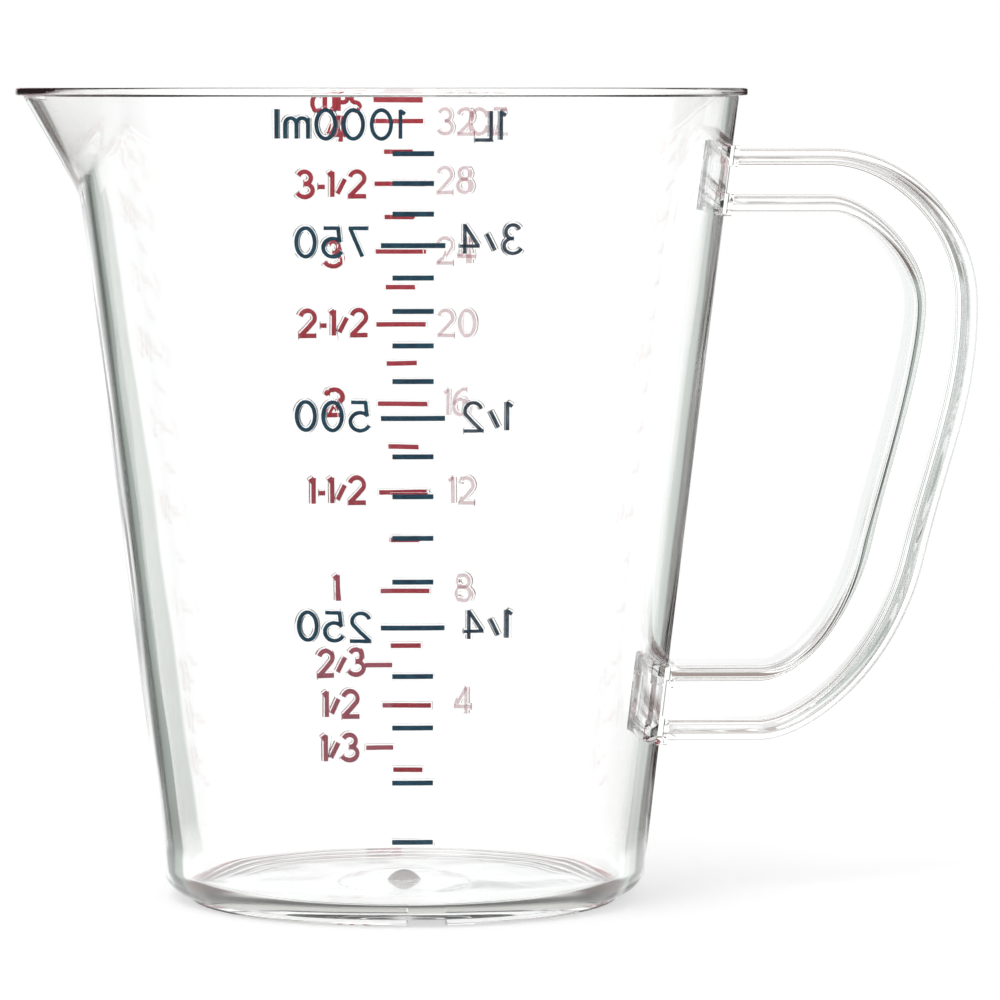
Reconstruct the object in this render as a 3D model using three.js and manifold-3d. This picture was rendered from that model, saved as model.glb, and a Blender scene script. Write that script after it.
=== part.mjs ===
import * as THREE from "three";
import Module from "manifold-3d";

// Millimetres, Z up. The cup stands on Z = 0, its spout points to -X and its handle to +X.

// Body: outer wall, rim and spout
const rimHeight = 142.0;
const wallRadiusAtFoot = 41.9;
const wallRadiusAtRim = 58.85;
const wallBow = 0.29;
const wallThickAtFoot = 3.8;
const wallThickAtRim = 2.4;
const rimThick = 1.35;
const rimOverhang = 1.3;
const rimEdgeRound = 0.35;
const underRimFillet = 0.2;
const spoutStart = 17.6;
const spoutReach = 67.6;
const spoutRoundness = 0.3;

// Body: floor, base corner and foot ring
const floorTop = 3.4;
const floorUnderside = 1.0;
const baseCornerTop = 5.4;
const footOuterRadius = 37.7;
const footRingWidth = 2.0;
const footNotches = 4;
const footNotchWidth = 6.6;
const footNotchTurn = 4.9;
const footEdgeRound = 0.15;
const innerCornerRadius = 2.8;
const gateDiscRadius = 11.4;
const gateDiscDepth = 0.45;
const gateDimpleRadius = 2.2;
const gateDimpleDepth = 1.5;
const gateDomeRadius = 3.0;
const gateDomeHeight = 1.25;

// Handle: a bent I-beam. X is counted from the cup's own axis.
const handleReach = 99.85;
const handleTop = 131.4;
const handleFoot = 28.2;
const handleWidth = 19.0;
const handleWebThick = 2.4;
const handleApex = 104.2;
const handleLean = 0.23;
const topBendStart = 74.5;
const footBendStart = 62.2;
const gripEndIn = 9.25;
const gripEndUp = 31.6;
const beamDepthTop = 10.9;
const beamDepthGrip = 10.9;
const beamDepthLow = 11.35;
const beamDepthFoot = 12.4;
const flangeThickAtEdge = 1.5;
const flangeThickAtRoot = 2.35;
const flangeEdgeRound = 0.4;
const webFillet = 0.6;
const outerPulls = { top: [12.3, 15.5], grip: [17, 20], foot: [22, 7] };
const innerPulls = { top: [5.4, 7.9], grip: [9.9, 10], foot: [10.4, 8.8] };
const padStandOff = 0.85;
const padMargin = 0.7;
const padHeight = 3.8;
const webPadStandOff = 0.35;
const wallClearance = 0.3;

// Graduations: volumes rise as in a cone with this radius, taper and lost volume, to the rim
const scaleRadius = 36.81;
const scaleTaper = 0.1602;
const scaleLostMl = -2.58;
const scaleBrimMl = 1014.9;
const ounceMl = 29.5735;
const cupMl = 236.588;
const tickProud = 0.45;
const tickSeat = 0.06;
const tickHeight = 0.85;
const tickTopShare = 0.72;
const tickEndShare = 0.8;
const blueShort = 6.8;
const blueLong = 10.6;
const blueCentre = 0.6;
const blueLast = 900;
const redShort = 5.8;
const redLong = 9.4;
const redCentre = 0.85;
const redLean = 0.0118; // the red print leans a little off plumb
const redDrop = 0.4; // and sits a little low
const redLast = 32;
const brimLineDrop = 2.8;
const brimLineThick = 1.1;
const cupDash = 5.2;
const cupDashCentre = -4.0;

const turnSteps = 96;
const wallSteps = 5;
const spoutSteps = 5;
const cornerSteps = 6;
const axisX = (spoutReach - handleReach) / 2;
const radians = Math.PI / 180;

const clearPlastic = new THREE.MeshStandardMaterial({
  color: 0xe9f0ef, roughness: 0.05, metalness: 0, transparent: true, opacity: 0.28,
});
const blueInk = new THREE.MeshStandardMaterial({ color: 0x0e3a55, roughness: 0.5, metalness: 0 });
const redInk = new THREE.MeshStandardMaterial({ color: 0xa21f33, roughness: 0.5, metalness: 0 });

function wallRadius(z) {
  const u = z / rimHeight;
  return wallRadiusAtFoot + (wallRadiusAtRim - wallRadiusAtFoot) * u - 4 * wallBow * u * (1 - u);
}

function wallThick(z) {
  return wallThickAtFoot + (wallThickAtRim - wallThickAtFoot) * (z / rimHeight);
}

// Radius of the wall at a turn from the spout: two tangents run from the circle to a round tip.
function outline(radius, tip, turn) {
  if (tip <= radius) return radius;
  const half = Math.acos(radius / tip);
  const round = half * spoutRoundness;
  const off = Math.max(0, half + round - Math.hypot(turn, round));
  return radius / Math.cos(off);
}

function spoutTip(z) {
  const low = rimHeight - spoutStart;
  const share = (z - low) / spoutStart;
  return wallRadius(low) + (spoutReach - rimOverhang - wallRadius(low)) * share;
}

function turnsAround() {
  const turns = [];
  for (let i = 0; i < turnSteps; i += 1) turns.push((i * 360) / turnSteps);
  const half = (footNotchWidth / footOuterRadius / 2) / radians;
  for (let i = 0; i < footNotches; i += 1) {
    const mid = 270 + footNotchTurn + (i * 360) / footNotches;
    for (const side of [-half - 0.3, -half, half, half + 0.3]) turns.push((mid + side) % 360);
  }
  for (const turn of [176.2, 177.5, 178.7, 181.3, 182.5, 183.8]) turns.push(turn);
  const sorted = turns.sort((a, b) => a - b);
  return sorted.filter((turn, i) => i === 0 || turn - sorted[i - 1] > 0.2);
}

function inNotch(turn) {
  const half = (footNotchWidth / footOuterRadius / 2) / radians + 0.05;
  for (let i = 0; i < footNotches; i += 1) {
    const mid = (270 + footNotchTurn + (i * 360) / footNotches) % 360;
    const away = Math.abs(((turn - mid + 540) % 360) - 180);
    if (away < half) return true;
  }
  return false;
}

function signedVolume(points, index) {
  let sum = 0;
  for (let i = 0; i < index.length; i += 3) {
    const [a, b, c] = [0, 1, 2].map((k) => new THREE.Vector3().fromArray(points, index[i + k] * 3));
    sum += a.dot(b.cross(c)) / 6;
  }
  return sum;
}

function centreOf(ring) {
  const mid = new THREE.Vector3();
  ring.forEach((p) => mid.addScaledVector(p, 1 / ring.length));
  return [mid];
}

// Rings of points become one closed body; a ring of a single point closes an end.
function bodyOfRings(rings) {
  const points = [];
  const starts = rings.map((ring) => {
    const start = points.length / 3;
    for (const p of ring) points.push(p.x, p.y, p.z);
    return start;
  });
  const index = [];
  for (let j = 0; j + 1 < rings.length; j += 1) {
    const a = rings[j];
    const b = rings[j + 1];
    const count = Math.max(a.length, b.length);
    for (let i = 0; i < count; i += 1) {
      const n = (i + 1) % count;
      const a0 = starts[j] + (a.length === 1 ? 0 : i);
      const a1 = starts[j] + (a.length === 1 ? 0 : n);
      const b0 = starts[j + 1] + (b.length === 1 ? 0 : i);
      const b1 = starts[j + 1] + (b.length === 1 ? 0 : n);
      if (a0 !== a1) index.push(a0, a1, b1);
      if (b0 !== b1) index.push(a0, b1, b0);
    }
  }
  if (signedVolume(points, index) < 0) index.reverse();
  const geometry = new THREE.BufferGeometry();
  geometry.setAttribute("position", new THREE.Float32BufferAttribute(points, 3));
  geometry.setIndex(index);
  geometry.computeVertexNormals();
  return geometry;
}

// Heights at which the wall gets a ring of points, from a low one up to the start of the spout
function wallLevels(low) {
  const high = rimHeight - spoutStart;
  const levels = [];
  for (let i = 1; i < wallSteps; i += 1) levels.push(low + ((high - low) * i) / wallSteps);
  return levels;
}

function vesselGeometry() {
  const turns = turnsAround();
  const rings = [[new THREE.Vector3(0, 0, floorUnderside + gateDimpleDepth)]];
  const ring = (at) => rings.push(turns.map((turn) => {
    const [r, z] = at(turn, (turn - 180) * radians);
    return new THREE.Vector3(r * Math.cos(turn * radians), r * Math.sin(turn * radians), z);
  }));
  const flat = (r, z) => ring(() => [r, z]);
  const foot = (r, z) => ring((turn) => [r, inNotch(turn) ? Math.max(z, floorUnderside) : z]);

  const gateDisc = floorUnderside + gateDiscDepth;
  flat(gateDimpleRadius * 0.6, gateDisc + (gateDimpleDepth - gateDiscDepth) * 0.64);
  flat(gateDimpleRadius, gateDisc);
  flat(gateDiscRadius, gateDisc);
  flat(gateDiscRadius + gateDiscDepth, floorUnderside);
  flat(footOuterRadius - footRingWidth - footEdgeRound, floorUnderside);
  foot(footOuterRadius - footRingWidth, 0);
  foot(footOuterRadius - footEdgeRound, 0);
  foot(footOuterRadius, floorUnderside);

  const cornerWidth = wallRadius(baseCornerTop) - footOuterRadius;
  const steepest = 84 * radians;
  for (let i = 1; i <= cornerSteps; i += 1) {
    const a = (i / cornerSteps) * steepest;
    const rise = (1 - Math.cos(a)) / (1 - Math.cos(steepest));
    const out = cornerWidth * (Math.sin(a) / Math.sin(steepest));
    flat(footOuterRadius + out, floorUnderside + (baseCornerTop - floorUnderside) * rise);
  }
  for (const z of wallLevels(baseCornerTop)) flat(wallRadius(z), z);

  const under = rimHeight - rimThick;
  const spoutLow = rimHeight - spoutStart;
  const spoutHigh = under - underRimFillet;
  for (let i = 0; i <= spoutSteps; i += 1) {
    const z = spoutLow + ((spoutHigh - spoutLow) * i) / spoutSteps;
    ring((turn, off) => [outline(wallRadius(z), spoutTip(z), off), z]);
  }
  const lip = (out, z) => ring((turn, off) => {
    const r = wallRadius(rimHeight) + out;
    return [outline(r, spoutReach - rimOverhang + out, off), z];
  });
  lip(underRimFillet, under);
  lip(rimOverhang - rimEdgeRound, under);
  lip(rimOverhang, under + rimEdgeRound);
  lip(rimOverhang, rimHeight - rimEdgeRound);
  lip(rimOverhang - rimEdgeRound, rimHeight);
  lip(rimEdgeRound - wallThickAtRim, rimHeight);
  lip(-wallThickAtRim, rimHeight - rimEdgeRound);

  for (let i = spoutSteps - 1; i >= 0; i -= 1) {
    const z = spoutLow + ((under - spoutLow) * i) / spoutSteps;
    const t = wallThick(z);
    ring((turn, off) => [outline(wallRadius(z) - t, spoutTip(z) - t * 1.1, off), z]);
  }
  const cornerTop = floorTop + innerCornerRadius;
  for (const z of wallLevels(cornerTop).reverse()) flat(wallRadius(z) - wallThick(z), z);
  const cornerRadius = wallRadius(cornerTop) - wallThick(cornerTop);
  for (let i = 0; i <= cornerSteps; i += 1) {
    const a = ((i / cornerSteps) * Math.PI) / 2;
    const r = cornerRadius - innerCornerRadius * (1 - Math.cos(a));
    flat(r, cornerTop - innerCornerRadius * Math.sin(a));
  }
  for (const share of [1, 0.8, 0.55, 0.28]) {
    flat(gateDomeRadius * share, floorTop + gateDomeHeight * (1 - share ** 2));
  }
  rings.push([new THREE.Vector3(0, 0, floorTop + gateDomeHeight)]);
  return bodyOfRings(rings);
}

// One edge of the beam: level from the wall, round the top bend, down the grip and back level.
function edgeOfBeam(top, foot, reach, gripEnd, pulls) {
  const at = (x, z) => new THREE.Vector2(x, z);
  const down = at(-Math.sin(handleLean), -Math.cos(handleLean));
  const along = (from, length) => from.clone().addScaledVector(down, length);
  const apex = at(reach, handleApex);
  const topBend = new THREE.CubicBezierCurve(
    at(topBendStart, top), at(topBendStart + pulls.top[0], top), at(reach, handleApex + pulls.top[1]), apex,
  );
  const grip = new THREE.CubicBezierCurve(
    apex, at(reach, handleApex - pulls.grip[0]), along(gripEnd, -pulls.grip[1]), gripEnd,
  );
  const footBend = new THREE.CubicBezierCurve(
    gripEnd, along(gripEnd, pulls.foot[0]), at(footBendStart + pulls.foot[1], foot), at(footBendStart, foot),
  );
  const runs = [
    [new THREE.LineCurve(at(wallRadius(top) * 0.85, top), at(topBendStart, top)), 3],
    [topBend, 18],
    [grip, 14],
    [footBend, 16],
    [new THREE.LineCurve(at(footBendStart, foot), at(wallRadius(foot) * 0.85, foot)), 4],
  ];
  return runs.flatMap(([curve, steps], k) => curve.getPoints(steps).slice(k === 0 ? 0 : 1));
}

function beamGeometry() {
  const lean = new THREE.Vector2(-Math.cos(handleLean), Math.sin(handleLean));
  const outerEnd = new THREE.Vector2(handleReach - gripEndIn, handleFoot + gripEndUp);
  const innerEnd = outerEnd.clone().addScaledVector(lean, beamDepthLow);
  const outer = edgeOfBeam(handleTop, handleFoot, handleReach, outerEnd, outerPulls);
  const inner = edgeOfBeam(
    handleTop - beamDepthTop, handleFoot + beamDepthFoot, handleReach - beamDepthGrip, innerEnd, innerPulls,
  );
  const w = handleWidth / 2;
  const web = handleWebThick / 2;
  const round = flangeEdgeRound;
  const rings = outer.map((o, i) => {
    const across = inner[i].clone().sub(o);
    const deep = across.length();
    across.normalize();
    const quarter = [
      [0, w - round], [round, w], [flangeThickAtEdge, w],
      [flangeThickAtRoot, web + webFillet], [flangeThickAtRoot + webFillet, web],
    ];
    const half = [...quarter, ...quarter.map(([d, y]) => [deep - d, y]).reverse()];
    const section = [...half, ...half.map(([d, y]) => [d, -y]).reverse()];
    return section.map(([d, y]) => new THREE.Vector3(o.x + across.x * d, y, o.y + across.y * d));
  });
  return bodyOfRings([centreOf(rings[0]), ...rings, centreOf(rings.at(-1))]);
}

// A plate on the wall under an end of the beam, its outer face parallel to the wall's slope.
function padGeometry(low, high, standOff) {
  const w = handleWidth / 2 + padMargin;
  const corner = (x, y, z) => new THREE.Vector3(x, y, z);
  const level = (z) => {
    const out = wallRadius(z) + standOff;
    const back = wallRadius(z) * 0.8;
    return [corner(back, -w, z), corner(back, w, z), corner(out, w, z), corner(out, -w, z)];
  };
  const rings = [low, high].map(level);
  return bodyOfRings([centreOf(rings[0]), ...rings, centreOf(rings[1])]);
}

function wallCutterGeometry() {
  const levels = [baseCornerTop, ...wallLevels(baseCornerTop), rimHeight - spoutStart, rimHeight];
  const rings = levels.map((z) => {
    const ring = [];
    for (let i = 0; i < turnSteps; i += 1) {
      const a = (i / turnSteps) * 2 * Math.PI;
      const r = wallRadius(z) + wallClearance;
      ring.push(new THREE.Vector3(r * Math.cos(a), r * Math.sin(a), z));
    }
    return ring;
  });
  return bodyOfRings([centreOf(rings[0]), ...rings, centreOf(rings.at(-1))]);
}

function coneHeight(ml) {
  const wanted = (ml - scaleLostMl) * 1000;
  let z = wanted / (Math.PI * scaleRadius ** 2);
  for (let i = 0; i < 30; i += 1) {
    const r = scaleRadius + scaleTaper * z;
    const held = (Math.PI / 3) * z * (scaleRadius ** 2 + scaleRadius * r + r * r);
    z -= (held - wanted) / (Math.PI * r * r);
  }
  return z;
}

function volumeHeight(ml) {
  return floorTop + (rimHeight - floorTop) * (coneHeight(ml) / coneHeight(scaleBrimMl));
}

// A low bar bent round the wall. The side is -1 for the wall at -Y and 1 for the wall at +Y.
function tickGeometry(z, centre, length, thick, side) {
  const r = wallRadius(z);
  const steps = Math.max(2, Math.round(length / 2.6));
  const slope = (wallRadius(z + 1) - wallRadius(z - 1)) / 2;
  const base = thick / 2;
  const rings = [];
  for (let i = 0; i <= steps; i += 1) {
    const along = centre - length / 2 + (length * i) / steps;
    const proud = tickProud * (i === 0 || i === steps ? tickEndShare : 1);
    const angle = side * (90 * radians - along / r);
    const top = base * tickTopShare;
    const section = [[tickSeat, -base], [tickSeat, base], [proud, top], [proud, -top]];
    rings.push(section.map(([out, up]) => {
      const radius = r + slope * up + out;
      return new THREE.Vector3(radius * Math.cos(angle), radius * Math.sin(angle), z + up);
    }));
  }
  return bodyOfRings([centreOf(rings[0]), ...rings, centreOf(rings.at(-1))]);
}

const wasm = await Module();
wasm.setup();

function toManifold(geometry) {
  return new wasm.Manifold(new wasm.Mesh({
    numProp: 3,
    vertProperties: new Float32Array(geometry.getAttribute("position").array),
    triVerts: new Uint32Array(geometry.getIndex().array),
  }));
}

function fromManifold(solid) {
  const mesh = solid.getMesh();
  const geometry = new THREE.BufferGeometry();
  geometry.setAttribute("position", new THREE.Float32BufferAttribute(mesh.vertProperties, 3));
  geometry.setIndex([...mesh.triVerts]);
  geometry.computeVertexNormals();
  return geometry;
}

function handleGeometry() {
  const ends = [
    [handleTop - beamDepthTop - padMargin, handleTop + padMargin],
    [handleFoot - padMargin, handleFoot + beamDepthFoot + padMargin],
  ];
  let whole = toManifold(beamGeometry());
  for (const [low, high] of ends) {
    const plates = [
      padGeometry(low, low + padHeight, padStandOff),
      padGeometry(high - padHeight, high, padStandOff),
      padGeometry(low + padHeight / 2, high - padHeight / 2, webPadStandOff),
    ];
    for (const plate of plates) whole = whole.add(toManifold(plate));
  }
  return fromManifold(whole.subtract(toManifold(wallCutterGeometry())));
}

const cup = new THREE.Group();
cup.name = "measuring_cup";

function place(name, geometry, material) {
  geometry.translate(axisX, 0, 0);
  const mesh = new THREE.Mesh(geometry, material);
  mesh.name = name;
  cup.add(mesh);
}

place("vessel", vesselGeometry(), clearPlastic);
place("handle", handleGeometry(), clearPlastic);

for (let ml = 50; ml <= blueLast; ml += 50) {
  const length = ml % 250 === 0 ? blueLong : blueShort;
  const name = `blue_tick_${String(ml).padStart(3, "0")}_ml`;
  place(name, tickGeometry(volumeHeight(ml), blueCentre, length, tickHeight, -1), blueInk);
}
function placeRed(name, z, length, thick) {
  const centre = redCentre - redLean * (z - rimHeight / 2);
  place(name, tickGeometry(z, centre, length, thick, 1), redInk);
}
for (let oz = 2; oz <= redLast; oz += 2) {
  const length = oz % 4 === 0 ? redLong : redShort;
  const name = `red_tick_${String(oz).padStart(2, "0")}_oz`;
  placeRed(name, volumeHeight(oz * ounceMl) - redDrop, length, tickHeight);
}
placeRed("red_brim_line", rimHeight - brimLineDrop, redLong, brimLineThick);
for (const [name, share] of [["red_tick_one_third_cup", 1 / 3], ["red_tick_two_thirds_cup", 2 / 3]]) {
  const z = volumeHeight(cupMl * share) - redDrop;
  place(name, tickGeometry(z, cupDashCentre, cupDash, tickHeight, 1), redInk);
}

export default cup;
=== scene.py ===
# Clear moulded measuring cup with two printed scales, in bright-field studio light.
import math

import bmesh
import bpy
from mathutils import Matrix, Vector


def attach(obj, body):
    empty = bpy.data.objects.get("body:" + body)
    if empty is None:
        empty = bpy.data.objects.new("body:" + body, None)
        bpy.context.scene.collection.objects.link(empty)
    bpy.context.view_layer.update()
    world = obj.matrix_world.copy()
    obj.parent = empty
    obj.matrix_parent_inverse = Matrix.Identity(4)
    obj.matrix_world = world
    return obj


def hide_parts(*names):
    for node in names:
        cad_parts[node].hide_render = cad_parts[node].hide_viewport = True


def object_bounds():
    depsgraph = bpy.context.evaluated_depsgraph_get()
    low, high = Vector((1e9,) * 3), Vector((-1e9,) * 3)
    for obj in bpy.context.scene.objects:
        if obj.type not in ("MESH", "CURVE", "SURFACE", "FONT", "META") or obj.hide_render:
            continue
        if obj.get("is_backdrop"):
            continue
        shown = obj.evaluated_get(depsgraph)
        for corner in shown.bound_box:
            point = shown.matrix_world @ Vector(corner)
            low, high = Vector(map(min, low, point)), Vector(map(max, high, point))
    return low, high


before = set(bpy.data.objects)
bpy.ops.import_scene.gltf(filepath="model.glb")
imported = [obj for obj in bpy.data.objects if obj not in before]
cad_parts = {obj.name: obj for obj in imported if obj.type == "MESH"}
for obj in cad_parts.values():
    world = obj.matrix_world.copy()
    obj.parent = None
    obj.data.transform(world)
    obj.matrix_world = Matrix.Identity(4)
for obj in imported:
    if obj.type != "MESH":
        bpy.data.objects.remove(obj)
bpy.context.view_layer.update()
print("frame loaded with", len(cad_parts), "nodes")

mm = 0.001
nodeNames = sorted(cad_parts)


class Wire:  # a node's output; sums of wires and numbers add their own Math nodes
    def __init__(self, graph, socket):
        self.graph = graph
        self.socket = socket

    def maths(self, operation, *terms):
        return self.graph.node("ShaderNodeMath", {"operation": operation}, dict(enumerate(terms)))

    def __add__(self, other):
        return self.maths("ADD", self, other)

    def __radd__(self, other):
        return self.maths("ADD", other, self)

    def __sub__(self, other):
        return self.maths("SUBTRACT", self, other)

    def __rsub__(self, other):
        return self.maths("SUBTRACT", other, self)

    def __mul__(self, other):
        return self.maths("MULTIPLY", self, other)

    def __rmul__(self, other):
        return self.maths("MULTIPLY", other, self)

    def __truediv__(self, other):
        return self.maths("DIVIDE", self, other)

    def __rtruediv__(self, other):
        return self.maths("DIVIDE", other, self)


class Graph:  # a node tree, filled one node at a time
    def __init__(self, tree):
        self.tree = tree

    def node(self, kind, settings=None, sockets=None, output=0):
        made = self.tree.nodes.new(kind)
        for name, value in (settings or {}).items():
            setattr(made, name, value)
        for name, value in (sockets or {}).items():
            if isinstance(value, Wire):
                self.tree.links.new(value.socket, made.inputs[name])
            else:
                made.inputs[name].default_value = value
        return Wire(self, made.outputs[output]) if len(made.outputs) else made

    def ramp(self, value, stops):
        made = self.node("ShaderNodeValToRGB", None, {"Fac": value})
        band = made.socket.node.color_ramp
        while len(band.elements) < len(stops):
            band.elements.new(0.5)
        for element, (place, colour) in zip(band.elements, stops):
            element.position, element.color = place, colour
        return made

    def ease(self, value, low, high, start=0.0, end=1.0):
        settings = {"interpolation_type": "SMOOTHSTEP"}
        sockets = {"Value": value, "From Min": low, "From Max": high, "To Min": start, "To Max": end}
        return self.node("ShaderNodeMapRange", settings, sockets)


# The moulding: lengths in millimetres, angles in degrees except the handle's lean.
body = {
    "rimHeight": 142.0,
    "radiusAtFoot": 41.9,
    "radiusAtRim": 58.85,
    "bow": 0.29,
    "thickAtFoot": 3.8,
    "thickAtRim": 2.4,
    "rimThick": 1.35,
    "rimOverhang": 1.3,
    "rimRound": 0.35,
    "underRimFillet": 0.2,
    "spoutStart": 18.4,
    "spoutReach": 67.6,
    "spoutRoundness": 0.18,
    "spoutBend": 0.95,
    "spoutBendDrop": 2.4,
    "spoutWallGain": 0.1,
    "floorTop": 3.4,
    "floorUnderside": 1.0,
    "recessFromEdge": 9,
    "cornerTop": 5.4,
    "cornerSteep": 84,
    "footRadius": 37.7,
    "footRingWidth": 2.0,
    "footRound": 0.15,
    "notches": 4,
    "notchWidth": 6.6,
    "notchTurn": 4.9,
    "innerCorner": 2.8,
    "gateRadius": 11.4,
    "gateDepth": 0.45,
    "dimpleRadius": 2.2,
    "dimpleDepth": 1.5,
    "domeRadius": 3.0,
    "domeHeight": 1.25,
    "turnSteps": 288,
    "closestTurns": 0.12,
    "tipSteps": 11,
    "tipStep": 0.31,
    "notchEdge": 0.3,
    "wallLevels": 26,
    "spoutLevels": 26,
    "edgeLevels": (0.12, 0.24),
    "edgeSteps": 4,
    "cornerSteps": 14,
    "loftSharp": 30,
    "sharp": 32,
}

handle = {
    "reach": 99.85,
    "top": 131.4,
    "foot": 28.2,
    "width": 19.0,
    "webThick": 2.4,
    "apex": 104.2,
    "lean": 0.23,
    "topBendStart": 74.5,
    "footBendStart": 62.2,
    "gripEndIn": 9.25,
    "gripEndUp": 31.6,
    "depthTop": 10.9,
    "depthGrip": 10.9,
    "depthLow": 11.35,
    "depthFoot": 12.4,
    "flangeAtEdge": 1.5,
    "flangeAtRoot": 2.35,
    "edgeRound": 0.4,
    "webFillet": 0.6,
    "outerPulls": {"top": (12.3, 15.5), "grip": (17, 20), "foot": (22, 7)},
    "innerPulls": {"top": (5.4, 7.9), "grip": (9.9, 10), "foot": (10.4, 8.8)},
    "padProud": 0.85,
    "padMargin": 0.7,
    "padHeight": 3.8,
    "webPadProud": 0.35,
    "rootDepth": 1.3,
    "rootShare": 0.9,
    "bendSteps": {"top": 34, "grip": 26, "foot": 32},
    "padEdge": 0.3,
    "padSteps": 12,
}

axisX = (body["spoutReach"] - handle["reach"]) / 2


def wallRadius(z):
    u = z / body["rimHeight"]
    straight = body["radiusAtFoot"] + (body["radiusAtRim"] - body["radiusAtFoot"]) * u
    return straight - 4 * body["bow"] * u * (1 - u)


def wallThick(z):
    return body["thickAtFoot"] + (body["thickAtRim"] - body["thickAtFoot"]) * z / body["rimHeight"]


def outline(radius, tip, turn):  # two tangents run from the circle to a rounded tip
    if tip <= radius:
        return radius
    half = math.acos(radius / tip)
    blend = half * body["spoutRoundness"]
    off = max(0.0, half + blend - math.hypot(turn, blend))
    return radius / math.cos(off)


def spoutTip(z, thick=0.0):  # a straight line that leaves the wall through a rounded bend
    low = body["rimHeight"] - body["spoutStart"]
    share = (z - low) / (body["spoutStart"] - body["rimThick"])
    line = wallRadius(low) + (body["spoutReach"] - body["rimOverhang"] - wallRadius(low)) * share
    past, soft = line - wallRadius(z) - thick * body["spoutWallGain"], body["spoutBend"]
    if past < soft:
        past = max(0.0, past + soft) ** 2 / (4 * soft)
    return wallRadius(z) - thick + past


def meshObject(name, points, faces):
    mesh = bpy.data.meshes.new(name)
    mesh.from_pydata([Vector(p) * mm for p in points], [], faces)
    work = bmesh.new()
    work.from_mesh(mesh)
    bmesh.ops.remove_doubles(work, verts=work.verts, dist=0.001 * mm)
    bmesh.ops.recalc_face_normals(work, faces=work.faces)
    work.to_mesh(mesh)
    work.free()
    mesh.polygons.foreach_set("use_smooth", [True] * len(mesh.polygons))
    mesh.set_sharp_from_angle(angle=math.radians(body["loftSharp"]))
    made = bpy.data.objects.new(name, mesh)
    bpy.context.scene.collection.objects.link(made)
    return made


def ringFaces(sizes):
    faces = []
    start = 0
    for a, b in zip(sizes, sizes[1:]):
        count = max(a, b)
        for i in range(count):
            n = (i + 1) % count
            a0, a1 = (start, start) if a == 1 else (start + i, start + n)
            b0, b1 = (start + a,) * 2 if b == 1 else (start + a + i, start + a + n)
            corners = [a0, a1, b1, b0]
            faces.append([c for k, c in enumerate(corners) if c not in corners[:k]])
        start += a
    return faces


def loft(name, rings):
    points = [p for ring in rings for p in ring]
    return meshObject(name, points, ringFaces([len(ring) for ring in rings]))


def centreOf(ring):
    return [tuple(sum(p[k] for p in ring) / len(ring) for k in range(3))]


def notchMiddles():
    return [(270 + body["notchTurn"] + i * 360 / body["notches"]) % 360 for i in range(body["notches"])]


def notchHalf():
    return math.degrees(body["notchWidth"] / body["footRadius"] / 2)


def turnsAround():
    turns = [i * 360 / body["turnSteps"] for i in range(body["turnSteps"])]
    half, edge = notchHalf(), body["notchEdge"]
    for middle in notchMiddles():
        turns += [(middle + side) % 360 for side in (-half - edge, -half, half, half + edge)]
    turns += [180 + side * i * body["tipStep"] for i in range(1, body["tipSteps"] + 1) for side in (-1, 1)]
    kept = []
    for turn in sorted(turns):
        if not kept or turn - kept[-1] > body["closestTurns"]:
            kept.append(turn)
    return kept


def inNotch(turn):
    half = notchHalf() + 0.05
    return any(abs((turn - middle + 540) % 360 - 180) < half for middle in notchMiddles())


def arcSteps(count, stop=90.0):
    return [math.radians(stop) * i / count for i in range(count + 1)]


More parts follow.
